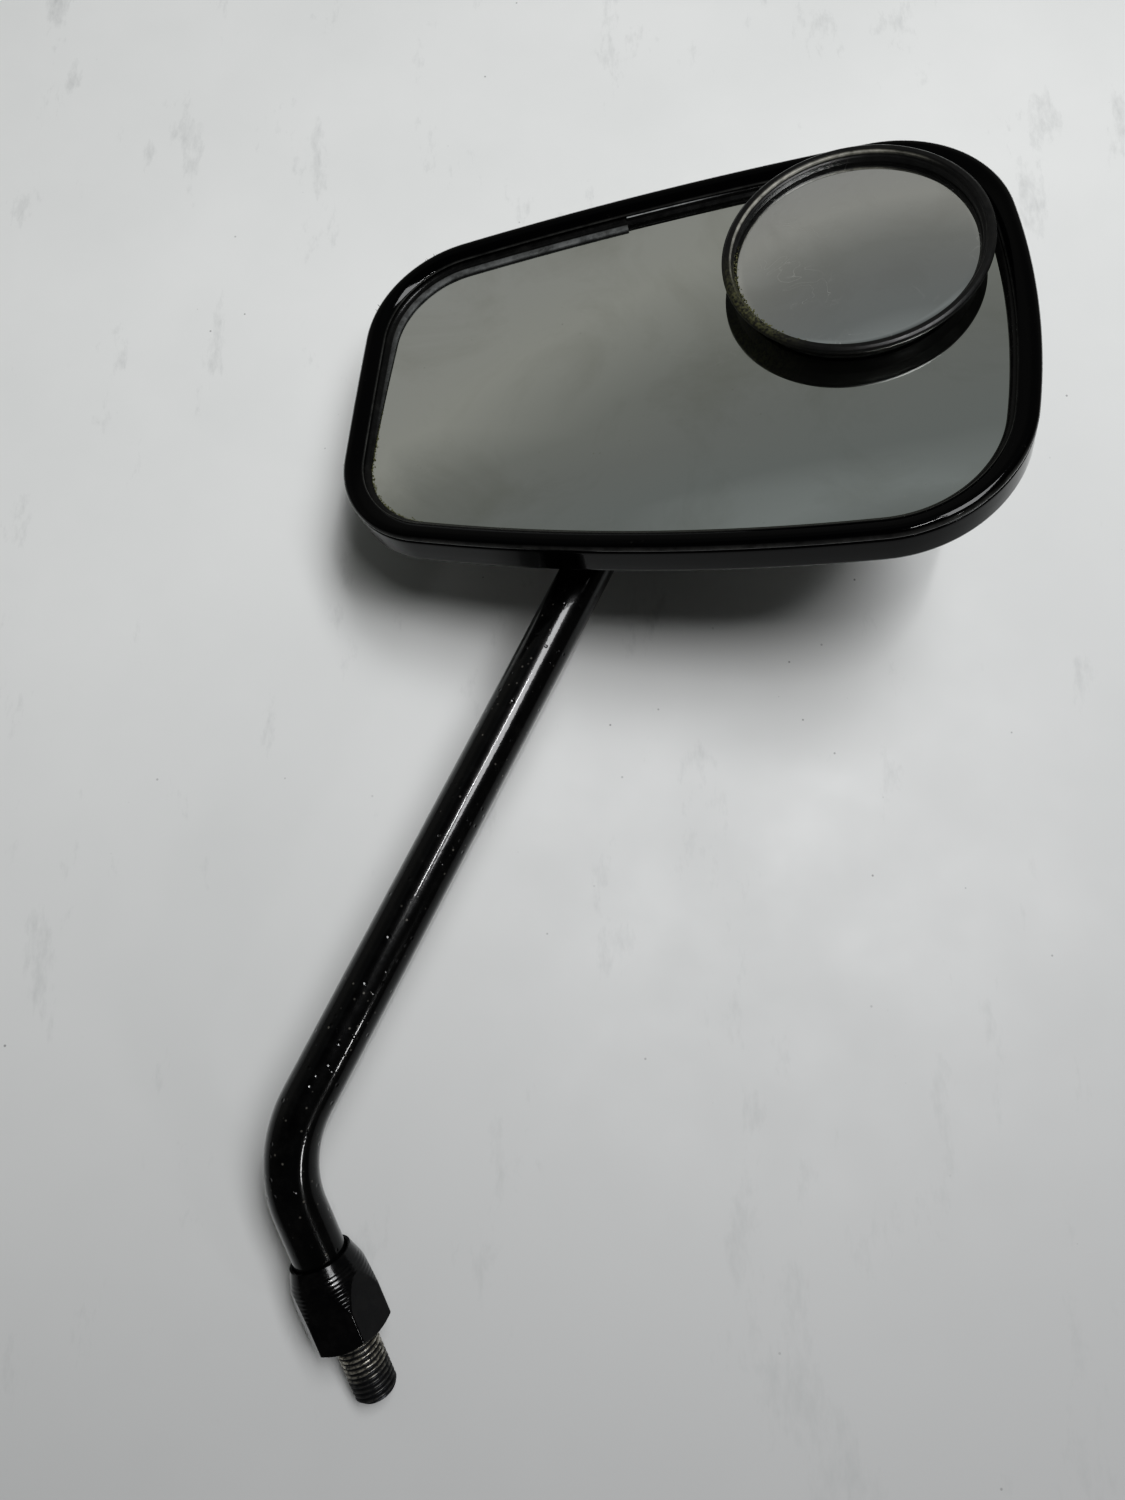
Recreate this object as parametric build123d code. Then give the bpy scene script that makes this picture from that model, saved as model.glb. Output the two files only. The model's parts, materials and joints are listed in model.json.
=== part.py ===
"""Stalk-mounted rear-view mirror with a stick-on blind-spot mirror, lying face up as when laid on a bench.

Everything is drawn in the head's own frame: the origin is the centre of the ball joint, +X runs to the
outer side of the glass, +Y to its upper edge and +Z out of its face. LIE then carries all of it into the
part's frame, whose origin is the centre of the lock nut's jam face and whose +Z stands on the surface
that the mirror lies on. Lengths are in millimetres and angles in degrees.
"""

import os
from math import cos, radians, sin, tan

from build123d import *

# Lie of the whole mirror: rotations about X, Y and Z that bring the head's frame to the part's frame
LIE_ANGLES = (-8.9, -14.0, -6.2)

# Head outline: corner points before rounding, anticlockwise from the lower inner one, with the corner
# radii and the bow of the side that follows each corner
CORNERS = [(-68.0, -34.9), (81.6, -40.7), (76.0, 68.0), (-69.8, 43.6)]
CORNER_RADII = [24.2, 32.7, 29.8, 28.4]
SIDE_BOWS = [6.0, 8.8, 3.5, 0.5]

# Levels along the glass normal; GLASS_LEVEL is the front face of the main glass
GLASS_LEVEL = 21.9
WALL_TOP = GLASS_LEVEL + 1.2
WALL_FOOT = GLASS_LEVEL - 6.5
SHADOW_GAP = 0.4
RIM_TOP = GLASS_LEVEL + 3.4

# Rings round the glass, each given as insets from the head outline
WALL = 2.4
RIM_INNER = 4.9
RIM_ROUND = 0.85
RIM_SKIRT = 3.2
RIM_SKIRT_DEPTH = 5.0
RIM_FIT = 0.05
GASKET_OUTER = 3.3
GLASS_EDGE = 4.2
GLASS_GAP = 0.1
LIP_INNER = 6.2
LIP_HEIGHT = 1.1
GLASS_THICK = 3.0
PAD_THICK = 1.5
BACKING_THICK = 1.5
LEDGE_INNER = 7.5
LEDGE_THICK = 2.4

# How far one feature of a piece runs into the next, so that they fuse
FUSE = 0.3

# Domed back: (scale of the outline about DOME_CENTRE, depth behind the glass face)
DOME_CENTRE = (3.0, 6.0)
DOME = [(1.0, 6.5), (0.90, 13.0), (0.80, 21.0), (0.68, 30.0), (0.55, 38.0), (0.42, 43.5), (0.25, 46.5)]
DOME_WALL_SCALE = 0.046
DOME_WALL_DEPTH = 2.2

# Ball joint
BALL_R = 9.0
NECK_R = 4.0
NECK_END = 20.0
SPHERE_GAP = 0.3
LINER_THICK = 1.5
CUP_THICK = 2.0
LINER_EDGE = 7.0
PLATE_LEVEL = 8.0
PLATE_THICK = 2.0
CLAMP_PLATE_R = 17.5
SCREW_CIRCLE_R = 13.8
SCREW_BEARINGS = [0.0, 110.0, -110.0]
OPENING_HALF_ANGLE = 11.0
OPENING_CLEARANCE = 0.7
OPENING_START = 14.0
OPENING_END = 62.0

# Fasteners
SCREW_R = 2.0
SCREW_HEAD_R = 3.5
SCREW_HEAD_H = 2.4
SCREW_HEAD_ROUND = 0.8
SLOT_WIDTH = 0.9
SLOT_DEPTH = 1.0
CLAMP_NUT_FLATS = 7.0
CLAMP_NUT_H = 3.2
CLAMP_SCREW_END = -18.0
SPRING_R = 4.0
SPRING_BORE_R = 2.1
SPRING_SHEET = 0.5
SPRING_COUNT = 4
SPRING_STACK = 4.0
BOSS_POINTS = [(-34.0, 8.0), (-24.0, 34.0), (42.0, 38.0), (46.0, 4.0)]
BOSS_R = 4.5
BOSS_SCREW_R = 1.8
BOSS_SCREW_LENGTH = 12.0
BOSS_PILOT_LENGTH = 14.0
WASHER_R = 4.2
WASHER_THICK = 0.8

# Blind-spot mirror, centred on SPOT_CENTRE; SPOT_WAIST is a (radius, height) on the drawn-in wall
SPOT_CENTRE = (49.4, 31.7)
SPOT_R = 30.0
SPOT_HEIGHT = 6.5
SPOT_LIP_FOOT = 4.8
SPOT_LIP_CHAMFER = 0.5
SPOT_INNER_CHAMFER = 0.8
SPOT_FOOT_R = 26.9
SPOT_WAIST = (27.9, 3.7)
SPOT_GLASS_R = 26.6
SPOT_SHELF_R = 23.6
SPOT_FLOOR = 1.0
SPOT_PAD_R = 26.0
SPOT_PAD_THICK = 0.8
SPOT_GLASS_EDGE = 3.9
SPOT_GLASS_THICK = 1.8
SPOT_CURVE_R = 200.0

# Stem: an upper run from the ball to the corner of the bend, and a lower run to the stud tip
TUBE_R = 6.0
TUBE_BORE_R = 4.0
UPPER_RUN = 185.8
UPPER_LEAN = 22.1
UPPER_PITCH = 2.7
LOWER_LEAN = 21.2
LOWER_DIP = 33.8
BEND_R = 28.0
SHANK_LENGTH = 18.0

# Lower run, as distances from the corner of the bend
PLUG_START = 15.0
NUT_TOP = 24.5
TUBE_END = 31.0
NUT_FACE = 43.5
STUD_TIP = 59.5
STUD_R = 5.0
STUD_IN_NUT_R = 4.95
RELIEF_R = 4.3
RELIEF_LENGTH = 2.5
TIP_CHAMFER = 1.2
TIP_R = 4.0

# Lock nut: (distance below the nut's top, radius) of its turned skirt, over a hexagon
NUT_FLATS = 17.0
NUT_TURN = 15.0
NUT_BORE_R = 5.05
NUT_PROFILE = [(0.0, 7.0), (4.4, 8.5), (11.0, 9.8)]
NUT_FOOT_CHAMFER = 1.0
COUNTERBORE_R = 6.3
COUNTERBORE_DEPTH = 7.5
SEAL_TOP = 4.2
SEAL_LENGTH = 2.0
SEAL_GROOVE_R = 7.2
SEAL_OUTER_R = 7.1
SEAL_INNER_R = 6.1
SEAL_SLACK = 0.1


def direction(lean, rise):
    """Unit vector that leans from +Y towards +X and rises out of the glass plane."""
    flat = cos(radians(rise))
    return Vector(sin(radians(lean)) * flat, cos(radians(lean)) * flat, sin(radians(rise)))


UP_STEM = direction(UPPER_LEAN, UPPER_PITCH)
DOWN_STUD = direction(180.0 - LOWER_LEAN, -LOWER_DIP)
BEND_CORNER = UP_STEM * -UPPER_RUN
ORIGIN = BEND_CORNER + DOWN_STUD * NUT_FACE
LIE = Rotation(*LIE_ANGLES) * Pos(-ORIGIN)


def along(start, way):
    """Frame at start whose Z axis runs along way."""
    return Plane(origin=start, z_dir=way).location


def rod(start, way, begin, end, radius):
    """Round bar between two distances from start."""
    bar = Cylinder(radius, end - begin, align=(Align.CENTER, Align.CENTER, Align.MIN))
    return along(start + way * begin, way) * bar


def post(point, low, high, radius):
    """Round bar along the glass normal."""
    return Pos(point[0], point[1], low) * Cylinder(
        radius, high - low, align=(Align.CENTER, Align.CENTER, Align.MIN)
    )


def side_circle(start, end, bow, inset):
    """Centre and radius of a bowed side after it is drawn in."""
    chord = end - start
    outward = Vector(chord.Y, -chord.X).normalized()
    radius = chord.length**2 / (8 * bow) + bow / 2
    return (start + end) * 0.5 - outward * (radius - bow), radius - inset


def meeting(first, second, near):
    """Point next to near where two circles cross."""
    between = second[0] - first[0]
    reach = (between.length**2 + first[1] ** 2 - second[1] ** 2) / (2 * between.length)
    rise = (first[1] ** 2 - reach**2) ** 0.5
    way = between.normalized()
    across = Vector(-way.Y, way.X)
    crossings = [first[0] + way * reach + across * side for side in (rise, -rise)]
    return min(crossings, key=lambda point: (point - near).length)


def outline(scale=1.0, inset=0.0):
    """Face of the head's outline: four bowed sides with rounded corners."""
    middle = Vector(*DOME_CENTRE)
    points = [middle + (Vector(*corner) - middle) * scale for corner in CORNERS]
    count = len(points)
    circles = []
    for index, start in enumerate(points):
        end = points[(index + 1) % count]
        circles.append(side_circle(start, end, SIDE_BOWS[index] * scale, inset))
    corners = [meeting(circles[i - 1], circles[i], points[i]) for i in range(count)]
    sides = []
    for index, start in enumerate(corners):
        end = corners[(index + 1) % count]
        centre, radius = circles[index]
        crown = centre + ((start + end) * 0.5 - centre).normalized() * radius
        sides.append(ThreePointArc(start, crown, end))
    face = make_face(sides)
    for point, radius in zip(corners, CORNER_RADII):
        corner = face.vertices().sort_by_distance(point)[0]
        face = fillet(corner, radius * scale - inset)
    return face


def slab(inset, low, high):
    """Plate of the head's outline, drawn in by inset."""
    return Pos(0, 0, low) * extrude(outline(inset=inset), amount=high - low, dir=(0, 0, 1))


def ring(outer_inset, inner_inset, low, high):
    """Band that follows the head's outline."""
    return slab(outer_inset, low, high) - slab(inner_inset, low, high)


def dome(wall_scale, wall_depth):
    """Solid under the side wall; the wall values draw it in to make the hollow."""
    sections = []
    for scale, depth in DOME:
        level = GLASS_LEVEL - depth
        if depth > DOME[0][1]:
            level += wall_depth * depth / DOME[-1][1]
        sections.append(Pos(0, 0, level) * outline(scale - wall_scale))
    return loft(sections)


def stem_opening():
    """Cone that the stem sweeps as the head moves on its ball."""
    way = direction(UPPER_LEAN, 0.0) * -1.0
    spread = tan(radians(OPENING_HALF_ANGLE))
    base = TUBE_R + OPENING_CLEARANCE
    cone = Cone(
        base + OPENING_START * spread,
        base + OPENING_END * spread,
        OPENING_END - OPENING_START,
        align=(Align.CENTER, Align.CENTER, Align.MIN),
    )
    return along(way * OPENING_START, way) * cone


def rear_housing():
    """Moulded shell: straight side wall, domed back, glass ledge, screw bosses and stem opening."""
    body = dome(0.0, 0.0)
    shell = body + slab(0.0, WALL_FOOT, WALL_TOP)
    shell -= dome(DOME_WALL_SCALE, DOME_WALL_DEPTH)
    shell -= slab(WALL, WALL_FOOT, WALL_TOP)
    ledge_top = GLASS_LEVEL - GLASS_THICK - PAD_THICK - BACKING_THICK
    shell += ring(WALL - FUSE, LEDGE_INNER, ledge_top - LEDGE_THICK, ledge_top)
    for point in BOSS_POINTS:
        shell += post(point, GLASS_LEVEL - DOME[-1][1], PLATE_LEVEL, BOSS_R) & body
    for point in BOSS_POINTS:
        shell -= post(point, PLATE_LEVEL - BOSS_PILOT_LENGTH, PLATE_LEVEL, BOSS_SCREW_R)
    return shell - stem_opening()


def front_rim():
    """Rounded rim bead that holds the glass in, with a skirt inside the housing wall."""
    bead_foot = WALL_TOP + SHADOW_GAP
    bead = ring(0.0, RIM_INNER, bead_foot, RIM_TOP)
    top_edges = bead.faces().sort_by(Axis.Z)[-1].edges()
    bead = fillet(top_edges, RIM_ROUND)
    skirt = ring(WALL + RIM_FIT, RIM_SKIRT, GLASS_LEVEL - RIM_SKIRT_DEPTH, bead_foot + FUSE)
    return bead + skirt


def glass_gasket():
    """L-section seal over the glass edge, under the rim."""
    lip = ring(GASKET_OUTER, LIP_INNER, GLASS_LEVEL, GLASS_LEVEL + LIP_HEIGHT)
    side_inner = GLASS_EDGE - GLASS_GAP
    side = ring(GASKET_OUTER, side_inner, GLASS_LEVEL - GLASS_THICK, GLASS_LEVEL + FUSE)
    return lip + side


def main_glass():
    return slab(GLASS_EDGE, GLASS_LEVEL - GLASS_THICK, GLASS_LEVEL)


def glass_pad():
    top = GLASS_LEVEL - GLASS_THICK
    return slab(LIP_INNER, top - PAD_THICK, top)


def backing_plate():
    top = GLASS_LEVEL - GLASS_THICK - PAD_THICK
    return slab(GLASS_EDGE, top - BACKING_THICK, top)


def spherical_shell(inner, outer, edge):
    """Cap of a hollow sphere above the level edge."""
    shell = Sphere(outer) - Sphere(inner)
    keep = Pos(0, 0, edge) * Cylinder(
        2 * outer, 2 * outer, align=(Align.CENTER, Align.CENTER, Align.MIN)
    )
    return shell & keep


def liner():
    """Nylon cap between the ball and a cup."""
    inner = BALL_R + SPHERE_GAP
    return spherical_shell(inner, inner + LINER_THICK, LINER_EDGE)


def cup():
    """Pressed steel cup over a liner."""
    inner = BALL_R + LINER_THICK + 2 * SPHERE_GAP
    return spherical_shell(inner, inner + CUP_THICK, PLATE_LEVEL)


def clamp_points():
    """Centres of the clamp screws, one opposite the stem and one to each side."""
    uphill = 90.0 - UPPER_LEAN
    points = []
    for bearing in SCREW_BEARINGS:
        angle = radians(uphill + bearing)
        points.append((SCREW_CIRCLE_R * cos(angle), SCREW_CIRCLE_R * sin(angle)))
    return points


def cup_hole():
    """Hole in a plate where its cup stands."""
    inner = BALL_R + LINER_THICK + 2 * SPHERE_GAP
    return ((inner + CUP_THICK / 2) ** 2 - PLATE_LEVEL**2) ** 0.5


def socket_plate():
    """Steel plate with the front cup, screwed to the housing bosses."""
    corners = [Vector(*point) for point in BOSS_POINTS]
    web = offset(make_face(Polyline(*corners, close=True)), amount=BOSS_R)
    face = web + Circle(CLAMP_PLATE_R) - Circle(cup_hole())
    plate = Pos(0, 0, PLATE_LEVEL) * extrude(face, amount=PLATE_THICK, dir=(0, 0, 1))
    for point in BOSS_POINTS:
        plate -= post(point, 0.0, GLASS_LEVEL, BOSS_SCREW_R)
    for point in clamp_points():
        plate -= post(point, 0.0, GLASS_LEVEL, SCREW_R)
    return plate + cup()


def clamp_plate():
    """Steel plate with the rear cup, drawn up by the clamp screws."""
    face = Circle(CLAMP_PLATE_R) - Circle(cup_hole())
    plate = Pos(0, 0, PLATE_LEVEL) * extrude(face, amount=PLATE_THICK, dir=(0, 0, 1))
    plate = mirror(plate + cup(), about=Plane.XY)
    for point in clamp_points():
        plate -= post(point, -GLASS_LEVEL, 0.0, SCREW_R)
    return plate


def pan_screw(point, seat, tip, radius):
    """Pan-head screw that points into the head."""
    head = post(point, seat, seat + SCREW_HEAD_H, SCREW_HEAD_R)
    head = fillet(head.faces().sort_by(Axis.Z)[-1].edges(), SCREW_HEAD_ROUND)
    slot = Pos(point[0], point[1], seat + SCREW_HEAD_H) * Box(2 * SCREW_HEAD_R, SLOT_WIDTH, 2 * SLOT_DEPTH)
    return head - slot + post(point, tip, seat, radius)


def clamp_screws():
    seat = PLATE_LEVEL + PLATE_THICK
    return Compound([pan_screw(point, seat, CLAMP_SCREW_END, SCREW_R) for point in clamp_points()])


def plate_screws():
    seat = PLATE_LEVEL + PLATE_THICK + WASHER_THICK
    tip = PLATE_LEVEL - BOSS_SCREW_LENGTH
    return Compound([pan_screw(point, seat, tip, BOSS_SCREW_R) for point in BOSS_POINTS])


def plate_washers():
    seat = PLATE_LEVEL + PLATE_THICK
    washers = []
    for point in BOSS_POINTS:
        blank = post(point, seat, seat + WASHER_THICK, WASHER_R)
        washers.append(blank - post(point, seat, seat + WASHER_THICK, BOSS_SCREW_R))
    return Compound(washers)


def clamp_springs():
    """Disc springs in facing pairs on each clamp screw."""
    pitch = SPRING_STACK / SPRING_COUNT
    top = -PLATE_LEVEL - PLATE_THICK
    discs = []
    for point in clamp_points():
        for index in range(SPRING_COUNT):
            level = top - pitch * (index + 1)
            rise = pitch - SPRING_SHEET
            inner, outer = (rise, 0.0) if index % 2 else (0.0, rise)
            section = make_face(
                Polyline(
                    (SPRING_BORE_R, 0, inner),
                    (SPRING_R, 0, outer),
                    (SPRING_R, 0, outer + SPRING_SHEET),
                    (SPRING_BORE_R, 0, inner + SPRING_SHEET),
                    close=True,
                )
            )
            discs.append(Pos(point[0], point[1], level) * revolve(section, axis=Axis.Z))
    return Compound(discs)


def clamp_nuts():
    top = -PLATE_LEVEL - PLATE_THICK - SPRING_STACK
    nuts = []
    for point in clamp_points():
        face = RegularPolygon(CLAMP_NUT_FLATS / 2, 6, major_radius=False) - Circle(SCREW_R)
        nuts.append(Pos(point[0], point[1], top) * extrude(face, amount=CLAMP_NUT_H, dir=(0, 0, -1)))
    return Compound(nuts)


def on_glass(shape):
    """Moves a piece of the blind-spot mirror from its own axis to its place on the glass."""
    return Pos(SPOT_CENTRE[0], SPOT_CENTRE[1], GLASS_LEVEL) * shape


def spot_bezel():
    """Round plastic cup: a wall that draws in under a flat lip, which stands over the rim."""
    foot = SPOT_PAD_THICK
    seat = SPOT_GLASS_EDGE - SPOT_GLASS_THICK
    section = make_face(
        Polyline(
            (0, 0, foot),
            (SPOT_FOOT_R, 0, foot),
            (SPOT_WAIST[0], 0, SPOT_WAIST[1]),
            (SPOT_R - SPOT_LIP_CHAMFER, 0, SPOT_LIP_FOOT),
            (SPOT_R, 0, SPOT_LIP_FOOT + SPOT_LIP_CHAMFER),
            (SPOT_R, 0, SPOT_HEIGHT - SPOT_LIP_CHAMFER),
            (SPOT_R - SPOT_LIP_CHAMFER, 0, SPOT_HEIGHT),
            (SPOT_GLASS_R + SPOT_INNER_CHAMFER, 0, SPOT_HEIGHT),
            (SPOT_GLASS_R, 0, SPOT_HEIGHT - SPOT_INNER_CHAMFER),
            (SPOT_GLASS_R, 0, seat),
            (SPOT_SHELF_R, 0, seat),
            (SPOT_SHELF_R, 0, foot + SPOT_FLOOR),
            (0, 0, foot + SPOT_FLOOR),
            close=True,
        )
    )
    return on_glass(revolve(section, axis=Axis.Z))


def spot_glass():
    """Convex mirror disc, crowned by a large sphere."""
    sag = SPOT_CURVE_R - (SPOT_CURVE_R**2 - SPOT_GLASS_R**2) ** 0.5
    top = SPOT_GLASS_EDGE + sag
    outer = Pos(0, 0, top - SPOT_CURVE_R) * Sphere(SPOT_CURVE_R)
    inner = Pos(0, 0, -SPOT_GLASS_THICK) * outer
    disc = post((0, 0), 0.0, 2 * SPOT_HEIGHT, SPOT_GLASS_R)
    return on_glass((disc & outer) - inner)


def spot_pad():
    return on_glass(post((0, 0), 0.0, SPOT_PAD_THICK, SPOT_PAD_R))


def ball_stud():
    """Ball, neck and the shank that is pressed into the tube."""
    centre = Vector(0, 0, 0)
    return Sphere(BALL_R) + rod(centre, UP_STEM * -1.0, 0.0, NECK_END + SHANK_LENGTH, NECK_R)


def stem_tube():
    """Bent steel tube: two straight runs and one bend."""
    path = FilletPolyline(
        UP_STEM * -NECK_END,
        BEND_CORNER,
        BEND_CORNER + DOWN_STUD * TUBE_END,
        radius=BEND_R,
    )
    section = Circle(TUBE_R) - Circle(TUBE_BORE_R)
    return sweep(Plane(origin=path @ 0, z_dir=path % 0) * section, path=path)


def threaded_stud():
    """Stud with a plug in the tube and a relief in the nut; its thread is a plain cylinder."""
    stud = rod(BEND_CORNER, DOWN_STUD, PLUG_START, TUBE_END, TUBE_BORE_R)
    stud += rod(BEND_CORNER, DOWN_STUD, TUBE_END, NUT_FACE - RELIEF_LENGTH, STUD_IN_NUT_R)
    stud += rod(BEND_CORNER, DOWN_STUD, NUT_FACE - RELIEF_LENGTH, NUT_FACE, RELIEF_R)
    stud += rod(BEND_CORNER, DOWN_STUD, NUT_FACE, STUD_TIP - TIP_CHAMFER, STUD_R)
    tip = Cone(
        STUD_R,
        TIP_R,
        TIP_CHAMFER,
        align=(Align.CENTER, Align.CENTER, Align.MIN),
    )
    return stud + along(BEND_CORNER + DOWN_STUD * (STUD_TIP - TIP_CHAMFER), DOWN_STUD) * tip


def lock_nut():
    """Hexagon nut whose upper half is turned to a round skirt over the end of the tube."""
    length = NUT_FACE - NUT_TOP
    corner_r = NUT_FLATS / 2 / cos(radians(30.0))
    turned = Polyline(
        (0, 0, 0),
        *[(radius, 0, depth) for depth, radius in NUT_PROFILE],
        (corner_r, 0, length - NUT_FOOT_CHAMFER),
        (NUT_FLATS / 2, 0, length),
        (0, 0, length),
        close=True,
    )
    blank = revolve(make_face(turned), axis=Axis.Z)
    flats = RegularPolygon(NUT_FLATS / 2, 6, major_radius=False, rotation=NUT_TURN)
    nut = blank & extrude(flats, amount=length, dir=(0, 0, 1))
    nut -= post((0, 0), 0.0, COUNTERBORE_DEPTH, COUNTERBORE_R)
    nut -= post((0, 0), SEAL_TOP, SEAL_TOP + SEAL_LENGTH, SEAL_GROOVE_R)
    nut -= post((0, 0), 0.0, length, NUT_BORE_R)
    return along(BEND_CORNER + DOWN_STUD * NUT_TOP, DOWN_STUD) * nut


def nut_seal_ring():
    """Rubber ring in the nut's skirt, round the tube."""
    low = SEAL_TOP + SEAL_SLACK
    high = SEAL_TOP + SEAL_LENGTH - SEAL_SLACK
    seal = post((0, 0), low, high, SEAL_OUTER_R) - post((0, 0), low, high, SEAL_INNER_R)
    return along(BEND_CORNER + DOWN_STUD * NUT_TOP, DOWN_STUD) * seal


NODES = {
    "stem_tube": stem_tube,
    "threaded_stud": threaded_stud,
    "ball_stud": ball_stud,
    "nut_seal_ring": nut_seal_ring,
    "lock_nut": lock_nut,
    "front_liner": liner,
    "rear_liner": lambda: mirror(liner(), about=Plane.XY),
    "socket_plate": socket_plate,
    "clamp_plate": clamp_plate,
    "clamp_screws": clamp_screws,
    "clamp_springs": clamp_springs,
    "clamp_nuts": clamp_nuts,
    "plate_screws": plate_screws,
    "plate_washers": plate_washers,
    "rear_housing": rear_housing,
    "front_rim": front_rim,
    "glass_gasket": glass_gasket,
    "main_glass": main_glass,
    "glass_pad": glass_pad,
    "backing_plate": backing_plate,
    "spot_bezel": spot_bezel,
    "spot_glass": spot_glass,
    "spot_pad": spot_pad,
}


def main():
    os.makedirs("parts", exist_ok=True)
    for name, make in NODES.items():
        export_step(LIE * make(), f"parts/{name}.step")


main()
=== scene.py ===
"""Looks of the stalk-mounted mirror: detailed pieces, materials, table, light and camera.

The pieces of the head are drawn in millimetres in the head's frame, whose origin is the ball centre, with
+X to the outer side of the glass, +Y to its upper edge and +Z out of its face. The pieces of the stud are
drawn in the stud's frame, whose origin is the nut's jam face, with +Z towards the stud's tip.
"""

import json
import random
from math import atan2, cos, hypot, pi, radians, sin, sqrt, tan

import bmesh
import bpy
from mathutils import Matrix, Vector


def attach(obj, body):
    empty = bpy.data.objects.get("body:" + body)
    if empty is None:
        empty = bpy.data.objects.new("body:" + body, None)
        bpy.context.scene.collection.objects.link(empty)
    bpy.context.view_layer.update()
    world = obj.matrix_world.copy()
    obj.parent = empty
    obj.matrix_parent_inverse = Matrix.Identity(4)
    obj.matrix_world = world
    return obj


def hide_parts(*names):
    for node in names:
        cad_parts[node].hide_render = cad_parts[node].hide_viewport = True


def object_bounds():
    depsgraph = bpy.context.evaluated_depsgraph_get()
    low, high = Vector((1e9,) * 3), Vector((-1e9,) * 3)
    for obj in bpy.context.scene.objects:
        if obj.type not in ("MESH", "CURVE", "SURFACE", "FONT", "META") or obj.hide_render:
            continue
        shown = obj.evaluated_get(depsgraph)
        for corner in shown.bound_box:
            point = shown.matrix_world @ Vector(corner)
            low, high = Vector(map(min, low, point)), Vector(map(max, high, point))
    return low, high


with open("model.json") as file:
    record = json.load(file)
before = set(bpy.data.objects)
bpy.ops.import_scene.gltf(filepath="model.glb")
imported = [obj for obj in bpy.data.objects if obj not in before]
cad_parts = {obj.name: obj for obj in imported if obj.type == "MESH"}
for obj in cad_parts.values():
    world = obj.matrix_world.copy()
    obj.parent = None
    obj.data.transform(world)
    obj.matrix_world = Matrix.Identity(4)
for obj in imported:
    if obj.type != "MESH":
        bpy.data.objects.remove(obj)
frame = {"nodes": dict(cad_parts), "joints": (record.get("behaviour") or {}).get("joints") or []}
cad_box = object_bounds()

MM = 0.001
SMOOTH_ANGLE = 35.0  # Edges sharper than this many degrees stay sharp
WEAR_AND_HIGHLIGHT = "wear_and_highlight"  # Name of the mesh attribute that the shaders read rubbed edges and painted highlight lines from
scene = bpy.context.scene
joints = {joint["name"]: joint for joint in frame["joints"]}


# -------- frames

def axis_of(name):
    """Unit vector of a joint's axis."""
    return Vector(joints[name]["axis"]).normalized()


def frame_matrix(x_axis, y_axis, z_axis, origin):
    """Matrix that takes millimetres in a local frame to metres in the row frame."""
    turn = Matrix((x_axis, y_axis, z_axis)).transposed().to_4x4()
    return Matrix.Translation(origin) @ turn @ Matrix.Scale(MM, 4)


STEM_LEAN = radians(22.1)  # From the way across the stem to the head's +X
BALL = Vector(joints["head_turn"]["pos_m"])
UP_STEM = axis_of("head_turn")
DOWN_STUD = axis_of("nut_spin")
GLASS_NORMAL = axis_of("head_lean")
ACROSS_STEM = axis_of("head_tilt")
ALONG_STEM = GLASS_NORMAL.cross(ACROSS_STEM).normalized()
HEAD_X = (ACROSS_STEM * cos(STEM_LEAN) + ALONG_STEM * sin(STEM_LEAN)).normalized()
HEAD_Y = GLASS_NORMAL.cross(HEAD_X)
HEAD = frame_matrix(HEAD_X, HEAD_Y, GLASS_NORMAL, BALL)

STUD_X = DOWN_STUD.cross(Vector((0, 0, 1))).normalized()
STUD_Y = DOWN_STUD.cross(STUD_X)
STUD = frame_matrix(STUD_X, STUD_Y, DOWN_STUD, Vector((0, 0, 0)))

GLASS = 21.9  # Level of the main glass's front face
SPOT_CENTRE = Vector((49.4, 31.7))
SPOT = HEAD @ Matrix.Translation((SPOT_CENTRE.x, SPOT_CENTRE.y, GLASS))


# -------- mesh helpers

def new_piece(name, vertices, faces, matrix, material, sharp=SMOOTH_ANGLE):
    """Object from vertices in a local frame, smooth except at edges sharper than the angle."""
    mesh = bpy.data.meshes.new(name)
    mesh.from_pydata([matrix @ Vector(vertex) for vertex in vertices], [], faces)
    mesh.validate()
    tool = bmesh.new()
    tool.from_mesh(mesh)
    bmesh.ops.recalc_face_normals(tool, faces=tool.faces)
    tool.to_mesh(mesh)
    tool.free()
    mesh.shade_smooth()
    mesh.set_sharp_from_angle(angle=radians(sharp))
    mesh.materials.append(material)
    piece = bpy.data.objects.new(name, mesh)
    scene.collection.objects.link(piece)
    return piece


def set_wear_and_highlight(piece, values):
    """Stores one value of rubbed wear and painted highlight for each vertex, which Shader.wear_and_highlight
    reads.
    """
    layer = piece.data.attributes.new(WEAR_AND_HIGHLIGHT, "FLOAT", "POINT")
    layer.data.foreach_set("value", values)


def skin(rows, along=False, cap_start=False, cap_end=False):
    """Faces between closed rings of points; along joins the last ring to the first."""
    count = len(rows[0])
    vertices = [point for row in rows for point in row]
    faces = []
    for row in range(len(rows) if along else len(rows) - 1):
        here = row * count
        there = ((row + 1) % len(rows)) * count
        for point in range(count):
            after = (point + 1) % count
            faces.append((here + point, here + after, there + after, there + point))
    if cap_start:
        faces.append(tuple(range(count)))
    if cap_end:
        faces.append(tuple(range(len(rows) * count - count, len(rows) * count)))
    return vertices, faces


def rounded(points, radii, steps):
    """Outline of 2-D points with each corner rounded to its radius in steps; None keeps a corner."""
    count = len(points)
    out = []
    for index in range(count):
        here = Vector(points[index])
        radius = radii[index]
        if not radius:
            out.append(here)
            continue
        before = Vector(points[index - 1]) - here
        after = Vector(points[(index + 1) % count]) - here
        half = before.angle(after) / 2
        reach = min(radius / tan(half), before.length * 0.49, after.length * 0.49)
        start = here + before.normalized() * reach
        end = here + after.normalized() * reach
        for step in range(steps + 1):
            blend = step / steps
            out.append(start * (1 - blend) ** 2 + here * 2 * blend * (1 - blend) + end * blend**2)
    return out


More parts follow.
